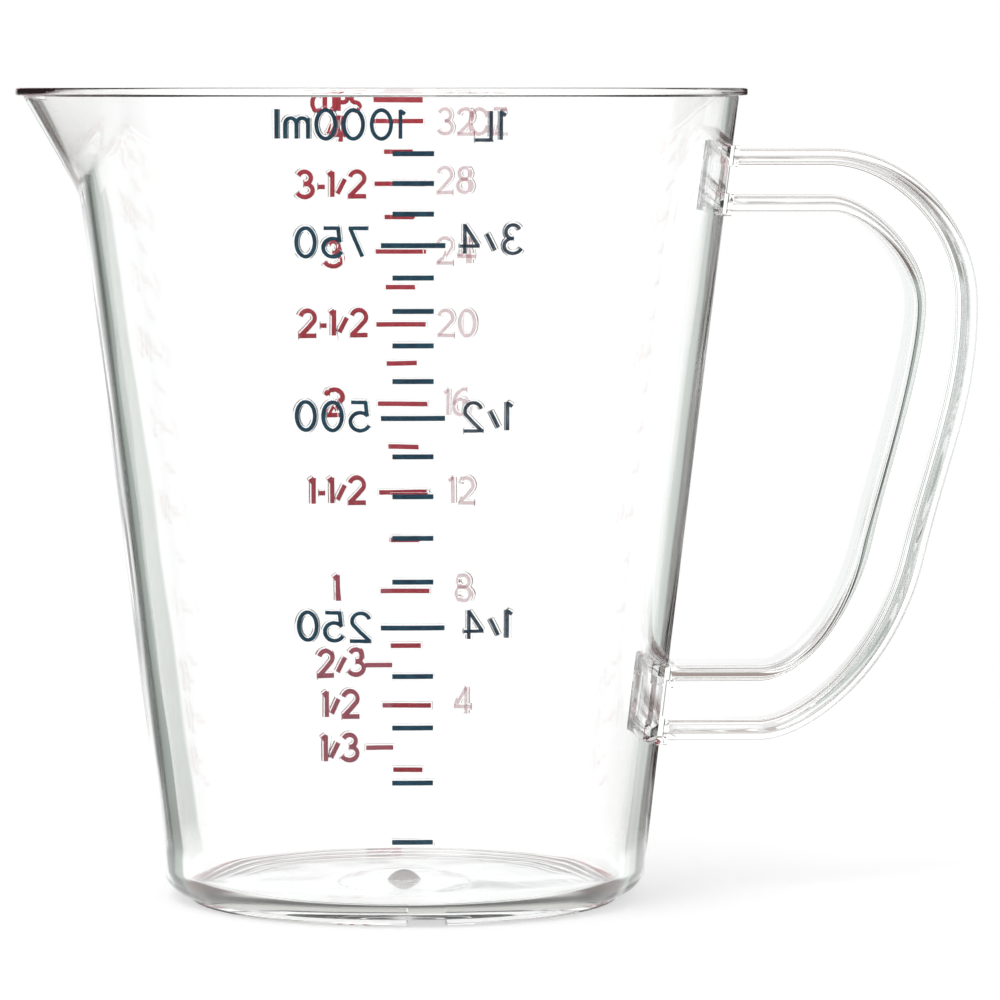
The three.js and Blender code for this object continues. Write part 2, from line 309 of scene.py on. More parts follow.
def buildBody():
    turns = turnsAround()
    rings = [[(axisX, 0, body["floorUnderside"] + body["dimpleDepth"])]]

    def ring(place):
        points = []
        for turn in turns:
            angle = math.radians(turn)
            r, z = place(turn, angle - math.pi)
            points.append((axisX + r * math.cos(angle), r * math.sin(angle), z))
        rings.append(points)

    def flat(r, z):
        ring(lambda turn, off: (r, z))

    def foot(r, z):
        ring(lambda turn, off: (r, max(z, body["floorUnderside"]) if inNotch(turn) else z))

    under, footR, rise = body["floorUnderside"], body["footRadius"], body["footRound"]
    gate = under + body["gateDepth"]
    for share in (0.25, 0.5, 0.75):  # the dimple is a shallow bowl
        deep = (body["dimpleDepth"] - body["gateDepth"]) * (1 - share ** 2)
        flat(body["dimpleRadius"] * share, gate + deep)
    flat(body["dimpleRadius"], gate)
    flat(body["gateRadius"] * 0.6, gate)
    flat(body["gateRadius"], gate)
    flat(body["gateRadius"] + body["gateDepth"], under)
    flat(footR - body["recessFromEdge"], under)
    flat(footR - body["footRingWidth"] - rise * 2, under)
    foot(footR - body["footRingWidth"] - rise, rise)
    foot(footR - body["footRingWidth"] + rise, 0)
    foot(footR - rise, 0)
    foot(footR, rise * 1.5)
    foot(footR, under)
    cornerWidth = wallRadius(body["cornerTop"]) - footR
    steep = math.radians(body["cornerSteep"])
    for a in arcSteps(body["cornerSteps"], body["cornerSteep"])[1:]:
        lift = (1 - math.cos(a)) / (1 - math.cos(steep))
        out = cornerWidth * math.sin(a) / math.sin(steep)
        flat(footR + out, under + (body["cornerTop"] - under) * lift)
    spoutLow = body["rimHeight"] - body["spoutStart"] - body["spoutBendDrop"]
    for i in range(1, body["wallLevels"]):
        z = body["cornerTop"] + (spoutLow - body["cornerTop"]) * i / body["wallLevels"]
        flat(wallRadius(z), z)

    rimUnder = body["rimHeight"] - body["rimThick"]
    spoutHigh = rimUnder - body["underRimFillet"]
    for i in range(body["spoutLevels"] + 1):
        z = spoutLow + (spoutHigh - spoutLow) * i / body["spoutLevels"]
        ring(lambda turn, off, z=z: (outline(wallRadius(z), spoutTip(z), off), z))

    def lip(out, z):
        base = wallRadius(body["rimHeight"]) + out
        tip = body["spoutReach"] - body["rimOverhang"] + out
        ring(lambda turn, off: (outline(base, tip, off), z))

    over, r, thick = body["rimOverhang"], body["rimRound"], body["thickAtRim"]
    edgeHigh = body["rimHeight"] - r
    quarter = arcSteps(body["edgeSteps"])
    lip(body["underRimFillet"], rimUnder)
    for a in quarter:
        lip(over - r + r * math.sin(a), rimUnder + r - r * math.cos(a))
    for a in quarter:
        lip(over - r + r * math.cos(a), edgeHigh + r * math.sin(a))
    for a in quarter:
        lip(r - thick - r * math.sin(a), edgeHigh + r * math.cos(a))
    levels = [edgeHigh - drop for drop in body["edgeLevels"]]  # these keep the edge's shading off the wall
    levels += [spoutLow + (rimUnder - spoutLow) * i / body["spoutLevels"]
               for i in range(body["spoutLevels"] - 1, -1, -1)]
    for z in levels:
        t = wallThick(z)
        ring(lambda turn, off, z=z, t=t: (outline(wallRadius(z) - t, spoutTip(z, t), off), z))
    cornerTop = body["floorTop"] + body["innerCorner"]
    for i in range(body["wallLevels"] - 1, 0, -1):
        z = cornerTop + (spoutLow - cornerTop) * i / body["wallLevels"]
        flat(wallRadius(z) - wallThick(z), z)
    cornerRadius = wallRadius(cornerTop) - wallThick(cornerTop)
    for a in arcSteps(body["cornerSteps"]):
        inward, down = body["innerCorner"] * (1 - math.cos(a)), body["innerCorner"] * math.sin(a)
        flat(cornerRadius - inward, cornerTop - down)
    flat(cornerRadius * 0.5, body["floorTop"])
    dome = body["domeHeight"]
    for share in (1.1, 1.0, 0.9, 0.75, 0.6, 0.45, 0.3, 0.15):
        lift = dome * (1 - min(share, 1) ** 2)
        flat(body["domeRadius"] * share, body["floorTop"] + lift)
    rings.append([(axisX, 0, body["floorTop"] + dome)])
    return loft("moulding", rings)


def bezier(a, b, c, d, steps):
    points = []
    for i in range(steps + 1):
        t = i / steps
        near, far = 3 * t * (1 - t) ** 2, 3 * t * t * (1 - t)
        points.append(a * (1 - t) ** 3 + b * near + c * far + d * t ** 3)
    return points


def edgeOfBeam(top, foot, reach, gripEnd, pulls):
    down = Vector((-math.sin(handle["lean"]), -math.cos(handle["lean"])))
    apex = Vector((reach, handle["apex"]))
    bendTop = Vector((handle["topBendStart"], top))
    bendFoot = Vector((handle["footBendStart"], foot))
    rootTop = Vector((wallRadius(top) * handle["rootShare"], top))
    rootFoot = Vector((wallRadius(foot) * handle["rootShare"], foot))
    across, upward = Vector((1, 0)), Vector((0, 1))
    steps = handle["bendSteps"]

    def curve(name, start, firstWay, endWay, end):
        first, second = pulls[name]
        return bezier(start, start + firstWay * first, end + endWay * second, end, steps[name])

    runs = [
        [rootTop.lerp(bendTop, i / 5) for i in range(6)],
        curve("top", bendTop, across, upward, apex),
        curve("grip", apex, -upward, -down, gripEnd),
        curve("foot", gripEnd, down, across, bendFoot),
        [bendFoot.lerp(rootFoot, i / 5) for i in range(6)],
    ]
    return runs[0] + [p for run in runs[1:] for p in run[1:]]


def buildBeam():
    lean = handle["lean"]
    outerEnd = Vector((handle["reach"] - handle["gripEndIn"], handle["foot"] + handle["gripEndUp"]))
    innerEnd = outerEnd + Vector((-math.cos(lean), math.sin(lean))) * handle["depthLow"]
    outer = edgeOfBeam(handle["top"], handle["foot"], handle["reach"], outerEnd, handle["outerPulls"])
    inner = edgeOfBeam(
        handle["top"] - handle["depthTop"], handle["foot"] + handle["depthFoot"],
        handle["reach"] - handle["depthGrip"], innerEnd, handle["innerPulls"],
    )
    w, web = handle["width"] / 2, handle["webThick"] / 2
    r, fillet = handle["edgeRound"], handle["webFillet"]
    edge, root = handle["flangeAtEdge"], handle["flangeAtRoot"]
    quarter = [(r - r * math.cos(a), w - r + r * math.sin(a)) for a in arcSteps(4)]
    quarter += [(edge - r + r * math.sin(a), w - r + r * math.cos(a)) for a in arcSteps(4)]
    quarter += [(root + fillet * (1 - math.cos(a)), web + fillet * (1 - math.sin(a))) for a in arcSteps(5)]
    rings = []
    for i, (o, n) in enumerate(zip(outer, inner)):
        across = n - o
        deep = across.length
        across.normalize()
        half = quarter + [(deep - d, y) for d, y in reversed(quarter)]
        section = half + [(d, -y) for d, y in reversed(half)]
        ring = []
        for d, y in section:
            x, z = o.x + across.x * d, o.y + across.y * d
            if i in (0, len(outer) - 1):  # the ends stop inside the wall
                x = math.sqrt((wallRadius(z) - handle["rootDepth"]) ** 2 - y * y)
            ring.append((axisX + x, y, z))
        rings.append(ring)
    return loft("beam", [centreOf(rings[0])] + rings + [centreOf(rings[-1])])


def buildPad(low, high, proud):  # a plate on the wall under an end of the beam
    w = handle["width"] / 2 + handle["padMargin"]
    r, steps = handle["padEdge"], handle["padSteps"]
    rings = []
    for z in (low, low + r / 2, high - r / 2, high):
        inset = r / 2 if z in (low, high) else 0
        front, back = [], []
        for i in range(steps + 1):
            y = -w + 2 * w * i / steps
            shut = inset + (r / 2 if i in (0, steps) else 0)
            front.append((axisX + wallRadius(z) + proud - shut, y * (1 - inset / w), z))
            depth = math.sqrt((wallRadius(z) - handle["rootDepth"]) ** 2 - y * y)
            back.append((axisX + depth, y * (1 - inset / w), z))
        rings.append(front + back[::-1])
    return loft("pad", [centreOf(rings[0])] + rings + [centreOf(rings[-1])])


def evaluatedMesh(thing):
    bpy.context.view_layer.update()
    seen = thing.evaluated_get(bpy.context.evaluated_depsgraph_get())
    return bpy.data.meshes.new_from_object(seen)


def fuse(whole, tool):
    step = whole.modifiers.new("fuse", "BOOLEAN")
    step.operation = "UNION"
    step.solver = "MANIFOLD"
    step.object = tool
    mesh = evaluatedMesh(whole)
    whole.modifiers.remove(step)
    whole.data = mesh
    bpy.data.objects.remove(tool)


# Lettering: single strokes, as on an engraved mould.
def arc(cx, cy, rx, ry, start, stop, steps=18):
    turns = [math.radians(start + (stop - start) * i / steps) for i in range(steps + 1)]
    return [(cx + rx * math.cos(a), cy + ry * math.sin(a)) for a in turns]


def loop(cx, cy, rx, ry):
    return arc(cx, cy, rx, ry, 0, 360 - 10, 35)


# A glyph is its width and its strokes, for a height of 1; a stroke marked True is closed.
glyphs = {
    "0": (0.58, [(loop(0.29, 0.5, 0.29, 0.5), True)]),
    "1": (0.1, [([(0.08, 0), (0.08, 1)], False), ([(0.1, 0.98), (-0.06, 0.86)], False)]),
    "2": (0.58, [(arc(0.28, 0.71, 0.27, 0.29, 165, -25) + [(0.3, 0.32), (0.02, 0.02)], False),
                 ([(-0.04, 0), (0.6, 0)], False)]),
    "3": (0.56, [(arc(0.25, 0.755, 0.24, 0.245, 155, -90), False),
                 (arc(0.25, 0.265, 0.3, 0.265, 90, -155), False)]),
    "4": (0.6, [([(0.43, 0), (0.43, 1.03)], False), ([(0.43, 1), (0, 0.29)], False),
                ([(-0.03, 0.27), (0.62, 0.27)], False)]),
    "5": (0.56, [([(0.52, 1), (0.07, 1)], False), ([(0.1, 1.03), (0.05, 0.5)], False),
                 (arc(0.26, 0.32, 0.3, 0.32, 142, -155), False)]),
    "6": (0.56, [(loop(0.28, 0.31, 0.28, 0.31), True),
                 (arc(0.44, 0.42, 0.44, 0.58, 182, 82), False)]),
    "7": (0.56, [([(0, 1), (0.58, 1)], False), ([(0.55, 1), (0.18, 0)], False)]),
    "8": (0.56, [(loop(0.28, 0.765, 0.225, 0.235), True), (loop(0.28, 0.265, 0.28, 0.265), True)]),
    "/": (0.22, [([(-0.02, 0.12), (0.25, 0.7)], False)]),
    "-": (0.22, [([(0, 0.4), (0.22, 0.4)], False)]),
    "m": (0.72, [([(0, 0), (0, 0.72)], False), (arc(0.18, 0.5, 0.18, 0.22, 180, 0) + [(0.36, 0)], False),
                 (arc(0.54, 0.5, 0.18, 0.22, 180, 0) + [(0.72, 0)], False)]),
    "l": (0.04, [([(0.02, 0), (0.02, 1.02)], False)]),
    "L": (0.54, [([(0, 1), (0, 0)], False), ([(-0.05, 0), (0.54, 0)], False)]),
    "C": (0.5, [(arc(0.32, 0.5, 0.32, 0.5, 50, 310), False)]),
    "U": (0.5, [([(0, 1)] + arc(0.25, 0.25, 0.25, 0.25, 180, 360) + [(0.5, 1)], False)]),
    "P": (0.48, [([(0, 0), (0, 1)], False),
                 ([(0, 1)] + arc(0.24, 0.76, 0.24, 0.24, 90, -90) + [(0, 0.52)], False)]),
    "S": (0.48, [(arc(0.24, 0.75, 0.22, 0.25, 40, 270) + arc(0.24, 0.25, 0.24, 0.25, 80, -140), False)]),
    "O": (0.66, [(loop(0.33, 0.5, 0.33, 0.5), True)]),
    "Z": (0.5, [([(0, 1), (0.5, 1)], False), ([(0.5, 1), (0, 0)], False), ([(0, 0), (0.54, 0)], False)]),
}


def wordStrokes(text, height, gap, stretch):  # strokes of a word about its own middle, in millimetres
    at = 0.0
    strokes = []
    for letter in text:
        width, parts = glyphs[letter]
        strokes += [([((at + x * stretch) * height, (y - 0.5) * height) for x, y in points], closed, k)
                    for k, (points, closed) in enumerate(parts)]
        at += width * stretch + gap
    middle = (at - gap) * height / 2
    return [([(x - middle, y) for x, y in points], closed, k) for points, closed, k in strokes]


def strokeMesh(name, strokes):  # strokes as bare edges, laid flat: X along the wall, Y up it
    points, edges = [], []
    for stroke, closed in strokes:
        first = len(points)
        points += [(x * mm, y * mm, 0) for x, y in stroke]
        edges += [(first + i, first + i + 1) for i in range(len(stroke) - 1)]
        if closed:
            edges.append((len(points) - 1, first))
    mesh = bpy.data.meshes.new(name)
    mesh.from_pydata(points, edges, [])
    made = bpy.data.objects.new(name, mesh)
    bpy.context.scene.collection.objects.link(made)
    return made


def strokeTree():  # sweeps flat strokes into bars and bends them round the cup's wall
    tree = bpy.data.node_groups.new("strokesOnWall", "GeometryNodeTree")
    face = tree.interface
    face.new_socket("Geometry", in_out="INPUT", socket_type="NodeSocketGeometry")
    for name in ("Stroke Width", "Low", "High", "Side", "Wall Radius At Foot", "Wall Radius At Rim",
                 "Wall Bow", "Rim Height", "Axis X", "Sway", "Seed"):
        face.new_socket(name, in_out="INPUT", socket_type="NodeSocketFloat")
    face.new_socket("Material", in_out="INPUT", socket_type="NodeSocketMaterial")
    face.new_socket("Geometry", in_out="OUTPUT", socket_type="NodeSocketGeometry")
    graph = Graph(tree)
    given = tree.nodes.new("NodeGroupInput")

    def value(name):
        return Wire(graph, given.outputs[name])

    curve = graph.node("GeometryNodeMeshToCurve", None, {"Mesh": value("Geometry")})
    curve = graph.node("GeometryNodeResampleCurve", {"mode": "LENGTH"}, {
        "Curve": curve, "Length": scale["strokeStep"] * mm,
    })
    curve = graph.node("GeometryNodeSetCurveNormal", {"mode": "Z_UP"}, {"Curve": curve})
    bar = graph.node("GeometryNodeCurvePrimitiveQuadrilateral", None, {
        "Width": value("Stroke Width"), "Height": value("High") - value("Low"),
    })
    lift = graph.node("ShaderNodeCombineXYZ", None, {"Y": (value("High") + value("Low")) / 2})
    bar = graph.node("GeometryNodeSetPosition", None, {"Geometry": bar, "Offset": lift})
    solid = graph.node("GeometryNodeCurveToMesh", None, {
        "Curve": curve, "Profile Curve": bar, "Fill Caps": True,
    })
    place = graph.node("GeometryNodeInputPosition")
    split = graph.node("ShaderNodeSeparateXYZ", None, {"Vector": place}).socket.node
    along, up, out = (Wire(graph, split.outputs[k]) for k in range(3))
    noise = graph.node("ShaderNodeTexNoise", {"noise_dimensions": "4D"}, {
        "Vector": place, "W": value("Seed"), "Scale": scale["swayScale"], "Detail": 1.0,
    })
    up = up + (noise - 0.5) * value("Sway")
    u = up / value("Rim Height")
    radius = value("Wall Radius At Foot") + (value("Wall Radius At Rim") - value("Wall Radius At Foot")) * u
    radius = radius - value("Wall Bow") * u * (1 - u) * 4
    turn = along / radius
    reach = radius + out
    x = value("Axis X") + reach * turn.maths("SINE", turn)
    y = value("Side") * reach * turn.maths("COSINE", turn)
    bent = graph.node("ShaderNodeCombineXYZ", None, {"X": x, "Y": y, "Z": up})
    solid = graph.node("GeometryNodeSetPosition", None, {"Geometry": solid, "Position": bent})
    solid = graph.node("GeometryNodeRealizeInstances", None, {"Geometry": solid})
    solid = graph.node("GeometryNodeSetMaterial", None, {"Geometry": solid, "Material": value("Material")})
    graph.node("NodeGroupOutput", None, {"Geometry": solid})
    return tree


def wrapStrokes(name, strokes, side, width, low, high, material=None, sway=0.0, seed=1.0):
    made = strokeMesh(name, strokes)
    step = made.modifiers.new("onWall", "NODES")
    step.node_group = wallTree
    sizes = {
        "Stroke Width": width * mm, "Low": low * mm, "High": high * mm, "Side": float(side),
        "Wall Radius At Foot": body["radiusAtFoot"] * mm, "Wall Radius At Rim": body["radiusAtRim"] * mm,
        "Wall Bow": body["bow"] * mm, "Rim Height": body["rimHeight"] * mm, "Axis X": axisX * mm,
        "Sway": sway * mm, "Seed": seed, "Material": material,
    }
    for item in wallTree.interface.items_tree:
        if item.in_out == "INPUT" and item.name in sizes and sizes[item.name] is not None:
            step[item.identifier] = sizes[item.name]
    mesh = evaluatedMesh(made)
    made.modifiers.remove(step)
    made.data = mesh
    work = bmesh.new()
    work.from_mesh(mesh)
    bmesh.ops.remove_doubles(work, verts=work.verts, dist=0.0001 * mm)
    bmesh.ops.recalc_face_normals(work, faces=work.faces)
    work.to_mesh(mesh)
    work.free()
    return made


# The two scales: where the bars and words stand, in millimetres and millilitres.
scale = {
    "radius": 36.81,
    "taper": 0.1602,
    "lostMl": -2.58,
    "brimMl": 1014.9,
    "ounceMl": 29.5735,
    "cupMl": 236.588,
    "inkLow": -0.1,
    "inkHigh": 0.45,
    "reliefLow": -0.7,
    "reliefHigh": {-1: 0.22, 1: 0.1},
    "reliefMargin": 0.27,
    "blueTick": {"centre": 0.6, "short": 6.8, "long": 10.6, "last": 900},
    "redTick": {"centre": 0.85, "short": 5.8, "long": 9.4, "last": 32},
    "tickThick": 0.85,
    "redLean": 0.0118,
    "redDrop": 0.4,
    "cupDash": {"centre": -4.0, "length": 5.2},
    "sway": 0.1,
    "swayScale": 900.0,
    "firstSeed": 3.0,
    "strokeStep": 0.3,
}
wallTree = strokeTree()


def coneHeight(ml):
    wanted = (ml - scale["lostMl"]) * 1000
    foot, taper = scale["radius"], scale["taper"]
    z = wanted / (math.pi * foot ** 2)
    for _ in range(30):
        r = foot + taper * z
        held = math.pi / 3 * z * (foot ** 2 + foot * r + r * r)
        z -= (held - wanted) / (math.pi * r * r)
    return z


def volumeHeight(ml):
    share = coneHeight(ml) / coneHeight(scale["brimMl"])
    return body["floorTop"] + (body["rimHeight"] - body["floorTop"]) * share


# Words stand as seen from the front. Blue ones face the far side, so they are mirrored here.
blueSide = {"side": -1, "mirror": True, "height": 4.75, "stroke": 0.62, "gap": 0.3, "stretch": 1.16}
redSide = {"side": 1, "mirror": False, "height": 4.6, "stroke": 0.82, "gap": 0.23, "stretch": 1.18}
words = {
    "blueNumbers": (blueSide, "blueInk", [
        ("1000ml", -11.8, 136.0), ("750", -12.9, volumeHeight(750) + 0.5),
        ("500", -12.9, volumeHeight(500) + 0.3), ("250", -12.7, volumeHeight(250) + 0.1)]),
    "blueFractions": ({**blueSide, "stroke": 0.56, "stretch": 1.1, "gap": 0.34}, "wornBlueInk", [
        ("1L", 13.2, 135.8), ("3/4", 13.5, volumeHeight(750) + 1.0),
        ("1/2", 13.1, volumeHeight(500) + 0.2), ("1/4", 13.2, volumeHeight(250) + 0.4)]),
    "redCups": (redSide, "redInk", [
        ("4", -11.8, 133.8), ("3-1/2", -12.9, volumeHeight(828) - 0.4),
        ("3", -12.5, volumeHeight(710) - 0.8), ("2-1/2", -12.7, volumeHeight(591.5)),
        ("2", -12.4, volumeHeight(473)), ("1-1/2", -12.0, volumeHeight(355)),
        ("1", -12.4, volumeHeight(236.6) + 0.3),
        ("2/3", -11.6, 36.4), ("1/2", -11.6, 28.8), ("1/3", -11.9, 20.9), ("CUPS", -11.9, 138.6)]),
    "redOunces": ({**redSide, "stroke": 0.6, "gap": 0.24, "stretch": 1.1}, "paleRedInk", [
        ("28", 10.9, volumeHeight(828) + 0.3), ("24", 11.1, volumeHeight(709.8) - 0.2),
        ("20", 11.2, volumeHeight(591.5) - 0.1), ("16", 11.3, volumeHeight(473.2)),
        ("12", 12.3, volumeHeight(354.9)), ("8", 12.5, volumeHeight(236.6) + 0.3),
        ("4", 12.5, volumeHeight(118.3) + 0.5), ("32", 11.2, 135.2), ("OZ", 17.6, 135.2)]),
}
smallWords = {"CUPS": 0.66}
flatWords = ("CUPS", "OZ")  # printed beside raised words, with no relief of their own


def placedStrokes(kind, entries):
    placed = []
    for text, x, z in entries:
        height = kind["height"] * smallWords.get(text, 1.0)
        for points, closed, layer in wordStrokes(text, height, kind["gap"], kind["stretch"]):
            flip = -1 if kind["mirror"] else 1
            layer = None if text in flatWords else layer
            placed.append(([(x + flip * px, z + py) for px, py in points], closed, layer))
    return placed


def tickStrokes():  # middle, half length and height of each bar, blue ones and red ones
    blue, red = [], []
    kind = scale["blueTick"]
    for ml in range(50, kind["last"] + 1, 50):
        half = (kind["long"] if ml % 250 == 0 else kind["short"]) / 2
        blue.append((kind["centre"], half, volumeHeight(ml)))
    kind = scale["redTick"]
    for oz in range(2, kind["last"] + 1, 2):
        half = (kind["long"] if oz % 4 == 0 else kind["short"]) / 2
        z = volumeHeight(oz * scale["ounceMl"]) - scale["redDrop"]
        centre = kind["centre"] - scale["redLean"] * (z - body["rimHeight"] / 2)
        red.append((centre, half, z))
    dash = scale["cupDash"]
    for share in (1 / 3, 2 / 3):
        z = volumeHeight(scale["cupMl"] * share) - scale["redDrop"]
        red.append((dash["centre"], dash["length"] / 2, z))
    return blue, red


plastic = {
    "colour": (0.985, 0.992, 0.989, 1),
    "ior": 1.585,
    "gloss": 0.003,
    "waveScale": 38.0,
    "waveDepth": 0.00015,
    "waveStretch": (1, 1, 0.45),
    "hazeScale": 160.0,
    "hazeGain": 8,
    "gateReach": 0.0026,
    "gateTop": 0.02,
    "gateFrost": 0.35,
    "gateShadeTint": (0.72, 0.73, 0.72, 1),
}


def newMaterial(name):
    made = bpy.data.materials.new(name)
    made.use_nodes = True
    made.node_tree.nodes.clear()
    return made, Graph(made.node_tree)


def clearPlastic():
    made, graph = newMaterial("clearPlastic")
    place = graph.node("ShaderNodeTexCoord", None, None, "Object")
    stretched = graph.node("ShaderNodeMapping", None, {"Vector": place, "Scale": plastic["waveStretch"]})
    wave = graph.node("ShaderNodeTexNoise", None, {
        "Vector": stretched, "Scale": plastic["waveScale"], "Detail": 2.0, "Roughness": 0.45,
    })
    bump = graph.node("ShaderNodeBump", None, {
        "Strength": 1.0, "Distance": plastic["waveDepth"], "Height": wave,
    })
    haze = graph.node("ShaderNodeTexNoise", None, {
        "Vector": place, "Scale": plastic["hazeScale"], "Detail": 3.0,
    })
    shine = graph.ease(haze, 0.4, 0.8, plastic["gloss"], plastic["gloss"] * plastic["hazeGain"])
    split = graph.node("ShaderNodeSeparateXYZ", None, {"Vector": place}).socket.node
    x, y, z = (Wire(graph, split.outputs[k]) for k in range(3))
    off = x.maths("SQRT", (x - axisX * mm) * (x - axisX * mm) + y * y)
    # the gate mark: its frost is real roughness; its grey base colour is a painted shade for the dark the
    # dome shows as it bends light away
    gateFrostAndShade = graph.ease(off, plastic["gateReach"], plastic["gateReach"] * 1.15, 1.0, 0.0)
    gateFrostAndShade = gateFrostAndShade * z.maths("LESS_THAN", z, plastic["gateTop"])
    colour = graph.node("ShaderNodeMix", {"data_type": "RGBA"}, {
        0: gateFrostAndShade, 6: plastic["colour"], 7: plastic["gateShadeTint"],
    }, 2)
    surface = graph.node("ShaderNodeBsdfPrincipled", None, {
        "Base Color": colour, "Roughness": shine + gateFrostAndShade * plastic["gateFrost"], "IOR": plastic["ior"],
        "Transmission Weight": 1.0, "Normal": bump,
    })
    graph.node("ShaderNodeOutputMaterial", None, {"Surface": surface})
    return made


# Hot-stamped foil: a little mottled, thin where it is worn, paler inside a faded box.
foil = {
    "patchScale": 420.0,
    "speckScale": 2600.0,
    "specular": 0.08,
    "roughness": 0.45,
    "grain": 0.00004,
    "fadeEdge": 0.0003,
    "fadeSway": 0.01,
}


def stampedInk(name, colour, pale, cover, wear, faded=None):
    made, graph = newMaterial(name)
    place = graph.node("ShaderNodeTexCoord", None, None, "Object")
    patches = graph.node("ShaderNodeTexNoise", None, {
        "Vector": place, "Scale": foil["patchScale"], "Detail": 2.0,
    })
    specks = graph.node("ShaderNodeTexNoise", None, {
        "Vector": place, "Scale": foil["speckScale"], "Detail": 1.0,
    })
    thin = graph.ease(patches * 0.6 + specks * 0.4, 0.42, 0.62)
    tint = graph.node("ShaderNodeMix", {"data_type": "RGBA"}, {0: thin, 6: colour, 7: pale}, 2)
    if faded:
        split = graph.node("ShaderNodeSeparateXYZ", None, {"Vector": place}).socket.node
        x, z = Wire(graph, split.outputs[0]), Wire(graph, split.outputs[2])
        left, right, low, high = (v * mm for v in faded["box"])
        edge = foil["fadeEdge"]
        stripe = graph.ease(x, left - edge, left + edge)
        stripe = stripe * graph.ease(x, right - edge, right + edge, 1.0, 0.0)
        stripe = stripe * graph.ease(z + patches * foil["fadeSway"], low, high, faded["strength"], 0.0)
        tint = graph.node("ShaderNodeMix", {"data_type": "RGBA"}, {
            0: stripe, 6: tint, 7: faded["colour"],
        }, 2)
    film = graph.ease(specks * 0.5 + patches * 0.5, 0.45, 0.66, cover, cover * (1 - wear))
    grain = graph.node("ShaderNodeBump", None, {
        "Strength": 0.4, "Distance": foil["grain"], "Height": specks,
    })
    surface = graph.node("ShaderNodeBsdfPrincipled", None, {
        "Base Color": tint, "Roughness": foil["roughness"], "Specular IOR Level": foil["specular"],
        "Alpha": film, "Normal": grain,
    })
    graph.node("ShaderNodeOutputMaterial", None, {"Surface": surface})
    return made


materials = {
    "clearPlastic": clearPlastic(),
    "blueInk": stampedInk("blueInk", (0.012, 0.085, 0.145, 1), (0.02, 0.125, 0.2, 1), 1.0, 0.0),
    "wornBlueInk": stampedInk("wornBlueInk", (0.02, 0.065, 0.12, 1), (0.06, 0.14, 0.22, 1), 0.85, 0.2),
    "redInk": stampedInk("redInk", (0.85, 0.035, 0.075, 1), (0.93, 0.065, 0.12, 1), 0.96, 0.02, {
        "box": (axisX - 21, axisX - 1.5, 30, 85), "strength": 0.7, "colour": (1.0, 0.3, 0.42, 1),
    }),
    "paleRedInk": stampedInk("paleRedInk", (0.88, 0.02, 0.13, 1), (0.93, 0.07, 0.2, 1), 0.28, 0.25),
}
print("materials ready:", ", ".join(materials))

moulding = buildBody()
fuse(moulding, buildBeam())
for low, high in ((handle["top"] - handle["depthTop"], handle["top"]),
                  (handle["foot"], handle["foot"] + handle["depthFoot"])):
    low, high, tall = low - handle["padMargin"], high + handle["padMargin"], handle["padHeight"]
    fuse(moulding, buildPad(low, low + tall, handle["padProud"]))
    fuse(moulding, buildPad(high - tall, high, handle["padProud"]))
    fuse(moulding, buildPad(low + tall / 2, high - tall / 2, handle["webPadProud"]))
print("moulding fused:", len(moulding.data.polygons), "faces")

marks = []
for name, (kind, ink, entries) in words.items():
    strokes = placedStrokes(kind, entries)
    piece = wrapStrokes(name, [s[:2] for s in strokes], kind["side"], kind["stroke"], scale["inkLow"],
                        scale["inkHigh"], materials[ink], scale["sway"], scale["firstSeed"] + len(marks))
    marks.append(piece)
    wide = kind["stroke"] + 2 * scale["reliefMargin"]
    for layer in range(3):
        chosen = [s[:2] for s in strokes if s[2] == layer]
        if chosen:
            fuse(moulding, wrapStrokes(name + "Relief", chosen, kind["side"], wide, scale["reliefLow"],
                                       scale["reliefHigh"][kind["side"]]))
for side, ticks in zip((-1, 1), tickStrokes()):
    margin = scale["reliefMargin"]
    lines = [([(x - half - margin, z), (x + half + margin, z)], False) for x, half, z in ticks]
    wide = scale["tickThick"] + 2 * margin
    fuse(moulding, wrapStrokes("tickRelief", lines, side, wide, scale["reliefLow"],
                               scale["reliefHigh"][side]))
moulding.data.materials.clear()
moulding.data.materials.append(materials["clearPlastic"])
moulding.data.polygons.foreach_set("material_index", [0] * len(moulding.data.polygons))
moulding.data.polygons.foreach_set("use_smooth", [True] * len(moulding.data.polygons))
moulding.data.set_sharp_from_angle(angle=math.radians(body["sharp"]))
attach(moulding, "root")
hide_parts("vessel", "handle")
print("relief fused:", len(moulding.data.polygons), "faces")

for piece, name in zip(marks, words):
    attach(piece, "root")
for name in nodeNames:
    if "_tick_" in name or name == "red_brim_line":
        ink = materials["blueInk" if name.startswith("blue") else "redInk"]
        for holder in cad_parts[name].material_slots:
            holder.material = ink
print("scales placed:", ", ".join(piece.name for piece in marks))

